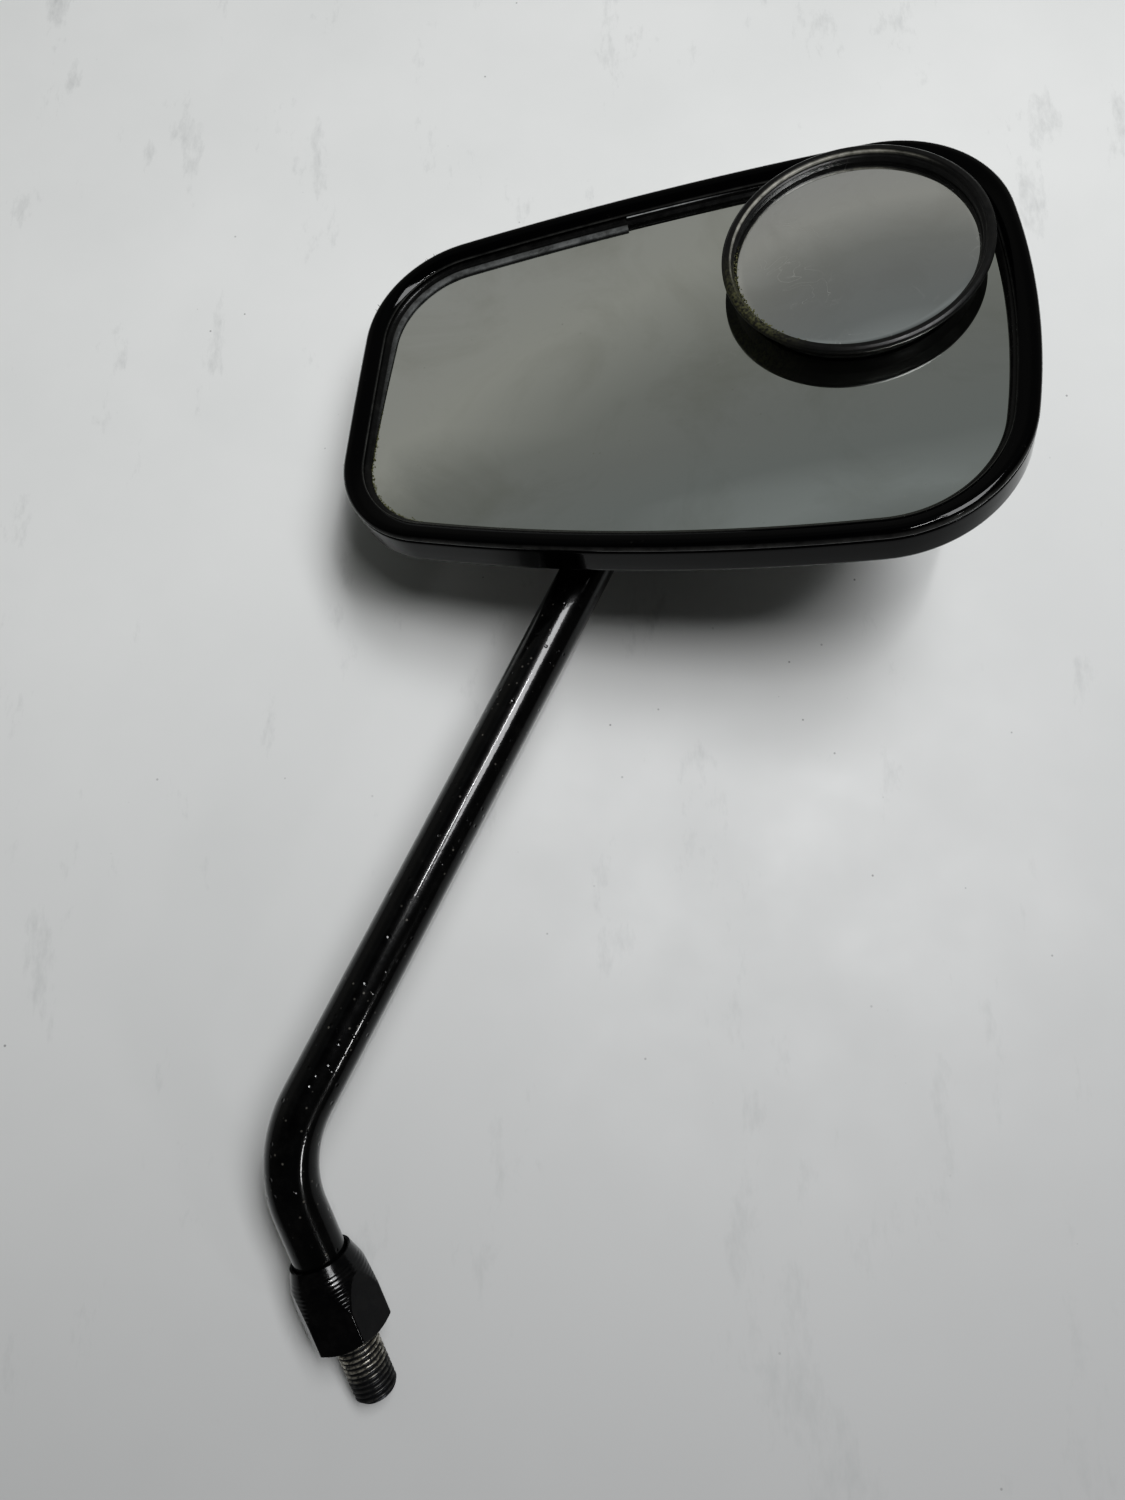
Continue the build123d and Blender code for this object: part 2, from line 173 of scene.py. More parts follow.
def refine(points, pitch):
    """Open outline with its straight stretches divided into steps of about the pitch."""
    out = []
    for start, end in zip(points, points[1:]):
        start, end = Vector(start), Vector(end)
        steps = max(1, int((end - start).length / pitch))
        out += [start.lerp(end, step / steps) for step in range(steps)]
    out.append(Vector(points[-1]))
    return out


def polar_row(radius, height, segments):
    """Ring of points about Z; radius is a number, or a function of the angle."""
    row = []
    for segment in range(segments):
        angle = 2 * pi * segment / segments
        reach = radius(angle) if callable(radius) else radius
        row.append((reach * cos(angle), reach * sin(angle), height))
    return row


def lathe(profile, segments, closed=True):
    """Surface of a (radius, height) profile turned about Z."""
    return skin([polar_row(radius, height, segments) for radius, height in profile], along=closed)


def smooth_step(value, low, high):
    """0 below low and 1 above high, with a smooth rise between them."""
    blend = min(1.0, max(0.0, (value - low) / (high - low)))
    return blend * blend * (3 - 2 * blend)


# -------- material helpers

def grey(value):
    """Colour with three equal parts."""
    return (value,) * 3


class Nodes:
    """A node tree, with short calls for the nodes that the looks share."""

    def __init__(self, tree, coordinates):
        self.tree = tree
        self.place = self.node("ShaderNodeTexCoord").outputs[coordinates]

    def link(self, source, target):
        self.tree.links.new(source, target)

    def put(self, socket, value):
        """Sets a socket to a value, or links it to another socket."""
        if isinstance(value, bpy.types.NodeSocket):
            self.link(value, socket)
        else:
            socket.default_value = value

    def node(self, kind, sockets=None, **values):
        """New node with its properties set, and then its input sockets set or linked."""
        node = self.tree.nodes.new(kind)
        for key, value in values.items():
            setattr(node, key, value)
        for key, value in (sockets or {}).items():
            self.put(node.inputs[key], value)
        return node

    def ramp(self, value, *stops):
        """Grey or colour steps at (position, colour) stops."""
        node = self.node("ShaderNodeValToRGB", {"Fac": value})
        elements = node.color_ramp.elements
        while len(elements) < len(stops):
            elements.new(0.5)
        for element, (position, colour) in zip(elements, stops):
            element.position = position
            element.color = (*(colour if isinstance(colour, tuple) else grey(colour)), 1.0)
        return node.outputs["Color"]

    def above(self, value, low, high):
        """0 below low, 1 above high."""
        return self.ramp(value, (low, 0.0), (high, 1.0))

    def below(self, value, low, high):
        """1 below low, 0 above high."""
        return self.ramp(value, (low, 1.0), (high, 0.0))

    def vector(self, operation, other=(0.0, 0.0, 0.0)):
        """Number from the coordinates and another vector: DOT_PRODUCT, DISTANCE or LENGTH."""
        node = self.node("ShaderNodeVectorMath", {0: self.place, 1: other}, operation=operation)
        return node.outputs["Value"]

    def spread(self, value, low, high, start=0.0, end=1.0, curve="SMOOTHSTEP"):
        """The value's stretch from low to high, mapped to start and end and kept between them."""
        sockets = {"Value": value, "From Min": low, "From Max": high, "To Min": start, "To Max": end}
        return self.node("ShaderNodeMapRange", sockets, interpolation_type=curve).outputs["Result"]


class Shader(Nodes):
    """A material's nodes, in the row frame's metres."""

    def __init__(self, name):
        self.material = bpy.data.materials.new(name)
        self.material.use_nodes = True
        super().__init__(self.material.node_tree, "Object")
        self.surface = self.tree.nodes["Principled BSDF"]

    def constant(self, **values):
        """Sets the surface's own sockets to plain numbers."""
        for key, value in values.items():
            self.surface.inputs[key.replace("_", " ")].default_value = value

    def noise(self, scale, detail=4.0, roughness=0.55, stretch=None, distortion=0.0):
        """Noise from 0 to 1, in coordinates stretched along the axes."""
        place = self.place
        if stretch:
            place = self.node("ShaderNodeMapping", {"Vector": place, "Scale": stretch}).outputs["Vector"]
        looks = {"Scale": scale, "Detail": detail, "Roughness": roughness, "Distortion": distortion}
        return self.node("ShaderNodeTexNoise", {"Vector": place, **looks}).outputs["Fac"]

    def cells(self, scale):
        """Distance to the nearest of scattered points."""
        return self.node("ShaderNodeTexVoronoi", {"Vector": self.place, "Scale": scale}).outputs["Distance"]

    def mix(self, amount, first, second):
        """Colour between two colours or sockets."""
        first, second = ((*value, 1.0) if isinstance(value, tuple) else value for value in (first, second))
        sockets = {"Factor": amount, "A": first, "B": second}
        return self.node("ShaderNodeMix", sockets, data_type="RGBA").outputs["Result"]

    def maths(self, operation, first, second=0.0, clamp=False):
        node = self.node("ShaderNodeMath", {0: first, 1: second}, operation=operation, use_clamp=clamp)
        return node.outputs["Value"]

    def times(self, first, second):
        return self.maths("MULTIPLY", first, second)

    def bump(self, height, strength, distance, below=None):
        """Normal raised by a height; below is the normal under it."""
        sockets = {"Strength": strength, "Distance": distance, "Height": height}
        if below is not None:
            sockets["Normal"] = below
        return self.node("ShaderNodeBump", sockets).outputs["Normal"]

    def wear_and_highlight(self, scale):
        """The mesh's own value of rubbed wear and painted highlight, broken up by noise; 0 on a mesh without
        one.
        """
        node = self.node("ShaderNodeAttribute", attribute_name=WEAR_AND_HIGHLIGHT)
        broken = self.ramp(self.noise(scale, 4.0, 0.65), (0.30, 0.35), (0.60, 1.0))
        return self.maths("MULTIPLY", node.outputs["Fac"], broken, clamp=True)

    def finish(self, colour, roughness, normal):
        """Puts the three on the surface and gives the material."""
        for key, value in (("Base Color", colour), ("Roughness", roughness), ("Normal", normal)):
            self.put(self.surface.inputs[key], value)
        return self.material


BLACK = (0.0012, 0.0012, 0.0014)
RUBBED_AND_HIGHLIGHT_BLACK = (0.11, 0.11, 0.105)
DUST = (0.20, 0.19, 0.17)
OXIDE_BLACK = (0.0015, 0.0015, 0.002)
OXIDE_GRIME = (0.05, 0.047, 0.043)
THREAD_SOOT = (0.030, 0.031, 0.034)
THREAD_ZINC = ((0.28, 0.26, 0.22), (0.58, 0.56, 0.50))
SCRATCH_WHITE = (0.90, 0.90, 0.88)
RUBBER_BLACK = (0.004, 0.004, 0.004)
RUBBER_FILM = (0.045, 0.043, 0.036)
HIGHLIGHT_RUBBER = (0.40, 0.41, 0.41)
SATIN_BLACK = (0.009, 0.009, 0.009)
SATIN_FILM = (0.050, 0.047, 0.041)
HIGHLIGHT_SATIN = (0.42, 0.41, 0.36)
MOSS_STAIN = (0.085, 0.085, 0.042)
MOSS_TONES = ((0.035, 0.040, 0.018), (0.125, 0.120, 0.062))
MOSS_STAIN_PLACE = SPOT @ Vector((-23.0, -16.0, 4.0))
MOSS_STAIN_FADE = (2.0 * MM, 20.0 * MM)


def gloss_black_material():
    """Moulded gloss black plastic: faint waves, fine scratches, dust, and rubbed edges with painted highlight
    lines where the mesh marks them.
    """
    shader = Shader("gloss_black_plastic")
    dust = shader.above(shader.noise(950.0, 3.0, 0.6), 0.66, 0.74)
    patches = shader.above(shader.noise(45.0, 4.0, 0.6), 0.42, 0.72)
    dust_amount = shader.times(dust, shader.times(patches, 0.10))
    colour = shader.mix(dust_amount, BLACK, DUST)
    rubs = shader.noise(420.0, 5.0, 0.65, stretch=(1.0, 0.12, 1.0))
    rough = shader.ramp(rubs, (0.35, 0.05), (0.65, 0.09), (0.80, 0.18))
    rough = shader.mix(dust_amount, rough, grey(0.6))
    # Paler lines on the rim's edges: partly rubbed wear, partly painted highlight
    rubbed = shader.wear_and_highlight(260.0)
    colour = shader.mix(rubbed, colour, RUBBED_AND_HIGHLIGHT_BLACK)
    rough = shader.mix(rubbed, rough, grey(0.40))
    wave = shader.noise(60.0, 2.0, 0.4)
    fine = shader.noise(1800.0, 2.0, 0.5)
    normal = shader.bump(fine, 0.04, 0.0001, shader.bump(wave, 0.05, 0.0004))
    shader.constant(IOR=1.48, Specular_IOR_Level=0.18)
    return shader.finish(colour, rough, normal)


def gloss_tube_material():
    """Gloss black coat on the tube, with dust specks, small pits and a faint peel."""
    shader = Shader("gloss_black_tube")
    specks = shader.below(shader.cells(420.0), 0.07, 0.15)
    where = shader.above(shader.noise(120.0, 3.0, 0.6), 0.42, 0.56)
    speck_amount = shader.times(specks, shader.times(where, 0.42))
    haze = shader.times(shader.above(shader.noise(260.0, 6.0, 0.7), 0.50, 0.80), 0.03)
    colour = shader.mix(shader.maths("ADD", speck_amount, haze, clamp=True), BLACK, DUST)
    rough = shader.ramp(shader.noise(300.0, 6.0, 0.7), (0.35, 0.20), (0.62, 0.27), (0.80, 0.38))
    rough = shader.mix(speck_amount, rough, grey(0.65))
    peel = shader.noise(700.0, 2.0, 0.5)
    pits = shader.above(shader.cells(300.0), 0.05, 0.16)
    normal = shader.bump(pits, 0.60, 0.0002, shader.bump(peel, 0.16, 0.0001))
    shader.link(normal, shader.surface.inputs["Coat Normal"])
    shader.constant(IOR=1.48, Specular_IOR_Level=0.22, Coat_Weight=0.5, Coat_Roughness=0.035)
    return shader.finish(colour, rough, normal)


def nut_material():
    """Blackened nut with fine marks and a little grime; its turning rings are in the mesh."""
    shader = Shader("black_oxide_nut")
    marks = shader.noise(900.0, 5.0, 0.7)
    grime = shader.above(shader.noise(350.0, 5.0, 0.65), 0.45, 0.75)
    colour = shader.mix(shader.times(grime, 0.12), OXIDE_BLACK, OXIDE_GRIME)
    rough = shader.ramp(marks, (0.35, 0.12), (0.65, 0.22), (0.85, 0.38))
    normal = shader.bump(shader.noise(2200.0, 2.0), 0.12, 0.00008)
    shader.constant(IOR=1.55, Specular_IOR_Level=0.35)
    return shader.finish(colour, rough, normal)


def thread_material():
    """Zinc thread worn bright on its crests, blackened in its grooves and towards the tip."""
    shader = Shader("worn_zinc_thread")
    travel = shader.vector("DOT_PRODUCT", DOWN_STUD)
    length = shader.vector("LENGTH")
    square = shader.maths("SUBTRACT", shader.times(length, length), shader.times(travel, travel))
    radius = shader.maths("SQRT", square)
    crest = shader.spread(radius, 4.35 * MM, 4.85 * MM)
    tip = shader.spread(travel, 6.0 * MM, 11.0 * MM, curve="LINEAR")
    rubbed = shader.above(shader.noise(700.0, 6.0, 0.75, distortion=0.8), 0.42, 0.58)
    bright = shader.times(crest, shader.maths("ADD", rubbed, 0.12, clamp=True))
    bright = shader.times(bright, shader.maths("SUBTRACT", 1.0, shader.times(tip, 0.9)))
    zinc = shader.mix(shader.noise(700.0, 4.0), *THREAD_ZINC)
    colour = shader.mix(bright, THREAD_SOOT, zinc)
    rough = shader.mix(bright, grey(0.46), grey(0.26))
    shader.constant(Metallic=0.75)
    return shader.finish(colour, rough, shader.bump(shader.noise(2600.0, 3.0), 0.2, 0.00008))


def mirror_material(name, tint, smear_tint, smear_scale, roughness, scratches):
    """Silvered glass: a mirror surface with smears, specks and thin wandering scratches."""
    shader = Shader(name)
    smears = shader.noise(smear_scale, 6.0, 0.62, distortion=0.6)
    smears = shader.ramp(smears, (0.46, 0.0), (0.58, 0.45), (0.72, 1.0))
    specks = shader.below(shader.cells(330.0), 0.035, 0.075)
    specks = shader.times(specks, shader.above(shader.noise(55.0, 3.0), 0.52, 0.68))
    soil = shader.maths("ADD", shader.times(smears, 0.55), specks, clamp=True)
    colour = shader.mix(soil, tint, smear_tint)
    rough = shader.mix(soil, grey(roughness), grey(roughness + 0.22))
    waves = shader.noise(110.0, 2.0, 0.5, distortion=1.2)
    lines = shader.ramp(waves, (0.493, 0.0), (0.500, 1.0), (0.507, 0.0))
    patch = shader.above(shader.noise(48.0, 2.0), 0.50, 0.60)
    scratch = shader.times(lines, shader.times(patch, scratches))
    colour = shader.mix(scratch, colour, SCRATCH_WHITE)
    rough = shader.mix(scratch, rough, grey(0.50))
    normal = shader.bump(shader.noise(18.0, 1.0, 0.3), 0.02, 0.001)
    shader.constant(Metallic=1.0)
    return shader.finish(colour, rough, normal)


def rubber_material():
    """Black rubber with a dull film, with pale painted highlight lines along the seal's lips."""
    shader = Shader("black_rubber")
    film = shader.above(shader.noise(600.0, 5.0, 0.65), 0.45, 0.80)
    colour = shader.mix(shader.times(film, 0.15), RUBBER_BLACK, RUBBER_FILM)
    rough = shader.ramp(shader.noise(300.0, 3.0), (0.3, 0.18), (0.7, 0.30))
    # Pale lines on the seal's lips are painted highlights, read from the mesh
    rubbed = shader.wear_and_highlight(320.0)
    colour = shader.mix(rubbed, colour, HIGHLIGHT_RUBBER)
    rough = shader.mix(rubbed, rough, grey(0.45))
    shader.constant(Specular_IOR_Level=0.42)
    return shader.finish(colour, rough, shader.bump(shader.noise(2400.0, 2.0), 0.12, 0.0001))


def satin_plastic_material():
    """Satin black plastic of the blind-spot mirror, greyed by weather, stained by moss on one side, with a
    painted highlight on its lip.
    """
    shader = Shader("satin_black_plastic")
    film = shader.above(shader.noise(260.0, 6.0, 0.7), 0.42, 0.80)
    colour = shader.mix(shader.times(film, 0.14), SATIN_BLACK, SATIN_FILM)
    moss = shader.spread(shader.vector("DISTANCE", MOSS_STAIN_PLACE), *MOSS_STAIN_FADE, 1.0, 0.0)
    grains = shader.above(shader.noise(1500.0, 5.0, 0.7), 0.42, 0.58)
    moss = shader.times(moss, shader.times(grains, 0.75))
    colour = shader.mix(moss, colour, MOSS_STAIN)
    rough = shader.ramp(shader.noise(420.0, 4.0, 0.6), (0.35, 0.30), (0.70, 0.46))
    rough = shader.mix(moss, rough, grey(0.85))
    # Painted highlight line on the cup's lip, read from the mesh
    colour = shader.mix(shader.wear_and_highlight(380.0), colour, HIGHLIGHT_SATIN)
    shader.constant(Specular_IOR_Level=0.30)
    return shader.finish(colour, rough, shader.bump(shader.noise(3000.0, 2.0), 0.10, 0.0001))


def moss_material():
    """Dry moss and dirt, from dark olive to pale straw."""
    shader = Shader("dry_moss")
    colour = shader.mix(shader.noise(1400.0, 4.0), *MOSS_TONES)
    return shader.finish(colour, 0.9, shader.bump(shader.noise(4000.0), 0.4, 0.0001))


def steel_material(name, dark, light, roughness):
    """Plated or bare steel of the pieces inside, with fine marks and a dull film."""
    shader = Shader(name)
    marks = shader.noise(500.0, 5.0, 0.6, stretch=(1.0, 0.15, 1.0))
    colour = shader.mix(marks, dark, light)
    rough = shader.ramp(shader.noise(240.0, 4.0), (0.35, roughness - 0.08), (0.7, roughness + 0.12))
    shader.constant(Metallic=0.95)
    return shader.finish(colour, rough, shader.bump(shader.noise(1800.0, 2.0), 0.15, 0.0001))


def soft_material(name, dark, light, grain, roughness):
    """Nylon, foam or plain moulded plastic with its own grain."""
    shader = Shader(name)
    colour = shader.mix(shader.noise(grain / 4, 4.0), dark, light)
    rough = shader.ramp(shader.noise(grain / 2, 3.0), (0.35, roughness - 0.08), (0.7, roughness + 0.08))
    return shader.finish(colour, rough, shader.bump(shader.cells(grain), 0.25, 0.0002))


GLOSS_BLACK = gloss_black_material()
GLOSS_TUBE = gloss_tube_material()
NUT_BLACK = nut_material()
THREAD = thread_material()
MIRROR = mirror_material("mirror_glass", (0.74, 0.76, 0.73), (0.54, 0.55, 0.50), 28.0, 0.02, 0.12)
SPOT_MIRROR = mirror_material("convex_mirror", (0.78, 0.79, 0.78), (0.66, 0.66, 0.64), 60.0, 0.04, 0.50)
RUBBER = rubber_material()
SATIN = satin_plastic_material()
MOSS = moss_material()
PLAIN_STEEL = steel_material("plain_steel", (0.30, 0.30, 0.31), (0.52, 0.52, 0.53), 0.30)
ZINC = steel_material("zinc_steel", (0.34, 0.33, 0.29), (0.58, 0.56, 0.50), 0.26)
SPRING = steel_material("spring_steel", (0.12, 0.12, 0.13), (0.28, 0.28, 0.30), 0.30)
NYLON = soft_material("nylon", (0.60, 0.58, 0.52), (0.78, 0.76, 0.70), 900.0, 0.45)
FOAM = soft_material("grey_foam", (0.10, 0.10, 0.10), (0.20, 0.20, 0.20), 1600.0, 0.85)
BACKING = soft_material("backing_plastic", (0.020, 0.020, 0.022), (0.045, 0.045, 0.048), 1200.0, 0.50)


# -------- head outline

CORNERS = [Vector(point) for point in ((-68.0, -34.9), (81.6, -40.7), (76.0, 68.0), (-69.8, 43.6))]
CORNER_RADII = [24.2, 32.7, 29.8, 28.4]
SIDE_BOWS = [6.0, 8.8, 3.5, 0.5]
DOME_CENTRE = Vector((3.0, 6.0))
SIDE_STEPS = 48
CORNER_STEPS = 28


def side_circles():
    """(centre, radius) of the circle that each bowed side lies on."""
    circles = []
    for index, start in enumerate(CORNERS):
        end = CORNERS[(index + 1) % 4]
        chord = end - start
        outward = Vector((chord.y, -chord.x)).normalized()
        bow = SIDE_BOWS[index]
        radius = chord.length**2 / (8 * bow) + bow / 2
        circles.append(((start + end) / 2 - outward * (radius - bow), radius))
    return circles


def crossing(first, second, near):
    """The crossing of two (centre, radius) circles that is nearer to a point."""
    between = second[0] - first[0]
    reach = (between.length**2 + first[1] ** 2 - second[1] ** 2) / (2 * between.length)
    rise = sqrt(first[1] ** 2 - reach**2)
    way = between.normalized()
    across = Vector((-way.y, way.x))
    options = [first[0] + way * reach + across * side for side in (rise, -rise)]
    return min(options, key=lambda point: (point - near).length)


def arc_samples(centre, radius, start, end, steps):
    """(point, outward normal) pairs along an anticlockwise arc, without its last point."""
    first = atan2(start.y, start.x)
    turn = (atan2(end.y, end.x) - first) % (2 * pi)
    samples = []
    for step in range(steps):
        angle = first + turn * step / steps
        normal = Vector((cos(angle), sin(angle)))
        samples.append((centre + normal * radius, normal))
    return samples


def head_outline():
    """(point, outward normal) pairs round the head, from the lower inner corner, anticlockwise."""
    circles = side_circles()
    middles = []
    for index, corner in enumerate(CORNERS):
        radius = CORNER_RADII[index]
        first, second = circles[index - 1], circles[index]
        middles.append(crossing((first[0], first[1] - radius), (second[0], second[1] - radius), corner))
    samples = []
    for index, middle in enumerate(middles):
        before, here = circles[index - 1][0], circles[index][0]
        samples += arc_samples(middle, CORNER_RADII[index], middle - before, middle - here, CORNER_STEPS)
        start, end = middle - here, middles[(index + 1) % 4] - here
        samples += arc_samples(here, circles[index][1], start, end, SIDE_STEPS)
    return samples


OUTLINE = head_outline()


def ring_at(inset, level, scale=1.0):
    """Points round the head at an inset from its outline and a level above the glass."""
    row = []
    for point, normal in OUTLINE:
        flat = DOME_CENTRE + (point - DOME_CENTRE) * scale - normal * inset
        row.append((flat.x, flat.y, GLASS + level))
    return row


# -------- head shell

WALL = 2.4
WALL_TOP = 1.2
WALL_FOOT = -6.5
# (scale of the outline about DOME_CENTRE, depth behind the glass face) down the outside of the back
DOME = [(1.0, 6.5), (0.90, 13.0), (0.80, 21.0), (0.68, 30.0), (0.55, 38.0), (0.42, 43.5), (0.25, 46.5)]
DOME_END = (0.05, 46.5)
DOME_STEPS = 6
BACK_SCALE = 0.046
BACK_THICK = 2.2
CENTRE_SCALE = 0.02


def dome_curve(steps):
    """(scale, depth) points of the back, smooth through the dome's levels."""
    points = [Vector(point) for point in DOME]
    before = points[0] * 2 - points[1]
    chain = [before, *points, Vector(DOME_END)]
    out = []
    for index in range(1, len(chain) - 2):
        p0, p1, p2, p3 = chain[index - 1: index + 3]
        for step in range(steps):
            t = step / steps
            out.append(
                0.5 * (2 * p1 + (p2 - p0) * t + (2 * p0 - 5 * p1 + 4 * p2 - p3) * t**2
                       + (3 * p1 - p0 - 3 * p2 + p3) * t**3)
            )
    out.append(points[-1])
    return out


def housing_rows():
    """Rings from the inner centre of the back, up the wall, over its top and down to the outer centre.

    wall and foot hold (inset from the outline, level) points.
    """
    outer = dome_curve(DOME_STEPS)
    inner = [Vector((scale - BACK_SCALE, depth - BACK_THICK * depth / DOME[-1][1])) for scale, depth in outer]
    inner[0] = Vector((1.0 - BACK_SCALE, DOME[0][1]))
    rows = [ring_at(0.0, -inner[-1].y, CENTRE_SCALE)]
    rows += [ring_at(0.0, -depth, scale) for scale, depth in reversed(inner[1:])]
    wall = [(WALL, WALL_FOOT + 1.0), (WALL, -3.0), (WALL, 0.0), (WALL, WALL_TOP), (0.0, WALL_TOP), (0.0, 0.0)]
    top = rounded(wall, [None, None, None, 0.25, 0.45, None], 6)
    rows += [ring_at(inset, level) for inset, level in top]
    foot = rounded([(0.0, -2.0), (0.0, WALL_FOOT), (4.5, WALL_FOOT - 3.7)], [None, 2.0, None], 8)
    rows += [ring_at(inset, level) for inset, level in foot[:-1]]
    rows += [ring_at(0.0, -depth, scale) for scale, depth in outer[3:]]
    rows.append(ring_at(0.0, -outer[-1].y, CENTRE_SCALE))
    return rows


def cut(piece, cutter):
    """Takes the cutter's shape out of the piece and removes the cutter."""
    tool = piece.modifiers.new("cut", "BOOLEAN")
    tool.operation = "DIFFERENCE"
    tool.solver = "EXACT"
    tool.object = cutter
    bpy.context.view_layer.update()
    result = piece.evaluated_get(bpy.context.evaluated_depsgraph_get())
    mesh = bpy.data.meshes.new_from_object(result)
    piece.modifiers.clear()
    piece.data = mesh
    bpy.data.objects.remove(cutter)
    mesh.shade_smooth()
    mesh.set_sharp_from_angle(angle=radians(SMOOTH_ANGLE))


OPENING_R = 6.7
OPENING_SPREAD = radians(11.0)
OPENING_NEAR = 14.0
OPENING_FAR = 62.0


def stem_cone():
    """Cutter for the opening that the stem leaves the head through: a cone down the stem from the ball."""
    turn = Matrix((ACROSS_STEM, GLASS_NORMAL, -ALONG_STEM)).transposed().to_4x4()
    near_r, far_r = (OPENING_R + depth * tan(OPENING_SPREAD) for depth in (OPENING_NEAR, OPENING_FAR))
    profile = [(0.0, OPENING_NEAR), (near_r, OPENING_NEAR), (far_r, OPENING_FAR), (0.0, OPENING_FAR)]
    vertices, faces = lathe(refine(profile, 4.0), 72, closed=False)
    matrix = Matrix.Translation(BALL) @ turn @ Matrix.Scale(MM, 4)
    return new_piece("stem_cone", vertices, faces, matrix, GLOSS_BLACK)


def housing_piece():
    """Back shell of the head."""
    vertices, faces = skin(housing_rows(), cap_start=True, cap_end=True)
    piece = new_piece("housing_shell", vertices, faces, HEAD, GLOSS_BLACK)
    cut(piece, stem_cone())
    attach(piece, "head")
    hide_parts("rear_housing")


# (inset, level) round the rim: outer shoulder, crown, slope down to the gasket, foot inside the wall
RIM_PROFILE = [
    (2.45, 1.6), (0.15, 1.6), (0.0, 1.75), (0.0, 2.15), (0.12, 2.6), (0.45, 3.02), (0.95, 3.3), (1.6, 3.4),
    (2.3, 3.32), (3.1, 3.05), (3.9, 2.65), (4.5, 2.28), (4.85, 1.98), (4.9, 1.75), (4.75, 1.6),
    (3.2, 1.6), (3.2, -5.0), (2.45, -5.0),
]
RIM_WEAR_AND_HIGHLIGHT = {3: 0.55, 4: 0.35, 12: 0.5}  # Rubbed wear and painted highlight lines, by the point of the profile


def rim_piece():
    """Rim bead: a steep outer shoulder, a flat crown and a long slope down to the gasket."""
    rows = [ring_at(inset, level) for inset, level in RIM_PROFILE]
    vertices, faces = skin(rows, along=True)
    piece = new_piece("rim_bead", vertices, faces, HEAD, GLOSS_BLACK, sharp=50.0)
    # Paler lines on the outer shoulder and the inner slope: rubbed wear and painted highlight
    set_wear_and_highlight(piece, [RIM_WEAR_AND_HIGHLIGHT.get(row, 0.0) for row in range(len(rows)) for _ in OUTLINE])
    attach(piece, "head")
    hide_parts("front_rim")


BURR_R = 0.14
BURR_ROOT = 0.4
BURR_RISE = 0.6
BURR_STEPS = 6
BURR_CORNERS = 6
BURR_LENGTHS = (1.2, 2.3)
BURR_PLACES = (233, 234, 235, 236, 247, 248, 249)  # Indices into OUTLINE


def burr_rows(point, normal, length, lean):
    """A thin sliver of moulding flash that stands out from the parting line and curls over."""
    rows = []
    side = Vector((-normal.y, normal.x))
    for step in range(BURR_STEPS + 1):
        part = step / BURR_STEPS
        middle = point + normal * (length * part - BURR_ROOT) + side * lean * part**2
        thick = BURR_R * (1.02 - part)
        row = []
        for corner in range(BURR_CORNERS):
            angle = 2 * pi * corner / BURR_CORNERS
            place = middle + side * cos(angle) * thick * 2
            row.append((place.x, place.y, GLASS + WALL_TOP + BURR_RISE * part + sin(angle) * thick))
        rows.append(row)
    return rows


def burr_piece():
    """Flash left on the upper inner corner, in two small tufts."""
    draw = random.Random(17)
    vertices, faces = [], []
    for index in BURR_PLACES:
        point, normal = OUTLINE[index]
        rows = burr_rows(point, normal, draw.uniform(*BURR_LENGTHS), draw.uniform(-1.0, 1.0))
        more, skins = skin(rows, cap_start=True, cap_end=True)
        start = len(vertices)
        vertices += more
        faces += [tuple(start + corner for corner in face) for face in skins]
    piece = new_piece("flash_burrs", vertices, faces, HEAD, GLOSS_BLACK)
    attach(piece, "head")


housing_piece()
rim_piece()
burr_piece()


# -------- gasket and glass

# (inset, level) round the seal: as it is on most of its length, and at its low and its high end
GASKET_PLAIN = [
    (3.3, -3.0), (3.3, 0.9), (3.5, 1.1), (4.6, 1.12), (5.3, 1.05), (5.7, 0.85), (5.9, 0.6), (6.05, 0.5),
    (6.2, 0.3), (6.2, 0.02), (4.1, 0.0), (4.1, -3.0),
]
GASKET_WIDE = [
    (3.3, -3.0), (3.3, 0.9), (3.5, 1.1), (4.6, 1.1), (5.2, 0.85), (5.5, 0.62), (6.3, 0.58), (6.7, 0.66),
    (8.0, 0.5), (8.3, 0.02), (4.1, 0.0), (4.1, -3.0),
]
GASKET_HIGH = [
    (3.3, -3.0), (3.3, 1.1), (3.6, 1.32), (4.6, 1.45), (5.05, 1.5), (5.25, 1.35), (5.4, 0.7), (5.9, 0.55),
    (6.3, 0.35), (6.3, 0.02), (4.1, 0.0), (4.1, -3.0),
]
GASKET_JOINT_X = -6.5
WIDE_FADE = (55.0, 120.0)  # Where the wide end passes over, from the strip's start
HIGH_FADE = (60.0, 35.0)  # Where the high end begins, from the strip's end
LIP_FADE = (30.0, 6.0)  # Where the high end's lip gets a painted highlight, from the strip's end
GASKET_HIGHLIGHT = {7: 0.22, 8: 0.30}  # Painted highlight lines on the low end, by the point of the profile
GASKET_LIP = 4


def joint_index():
    """Index of the outline point above the gasket's joint, on the upper side."""
    upper = [index for index, (_, normal) in enumerate(OUTLINE) if normal.y > 0.5]
    return min(upper, key=lambda index: abs(OUTLINE[index][0].x - GASKET_JOINT_X))


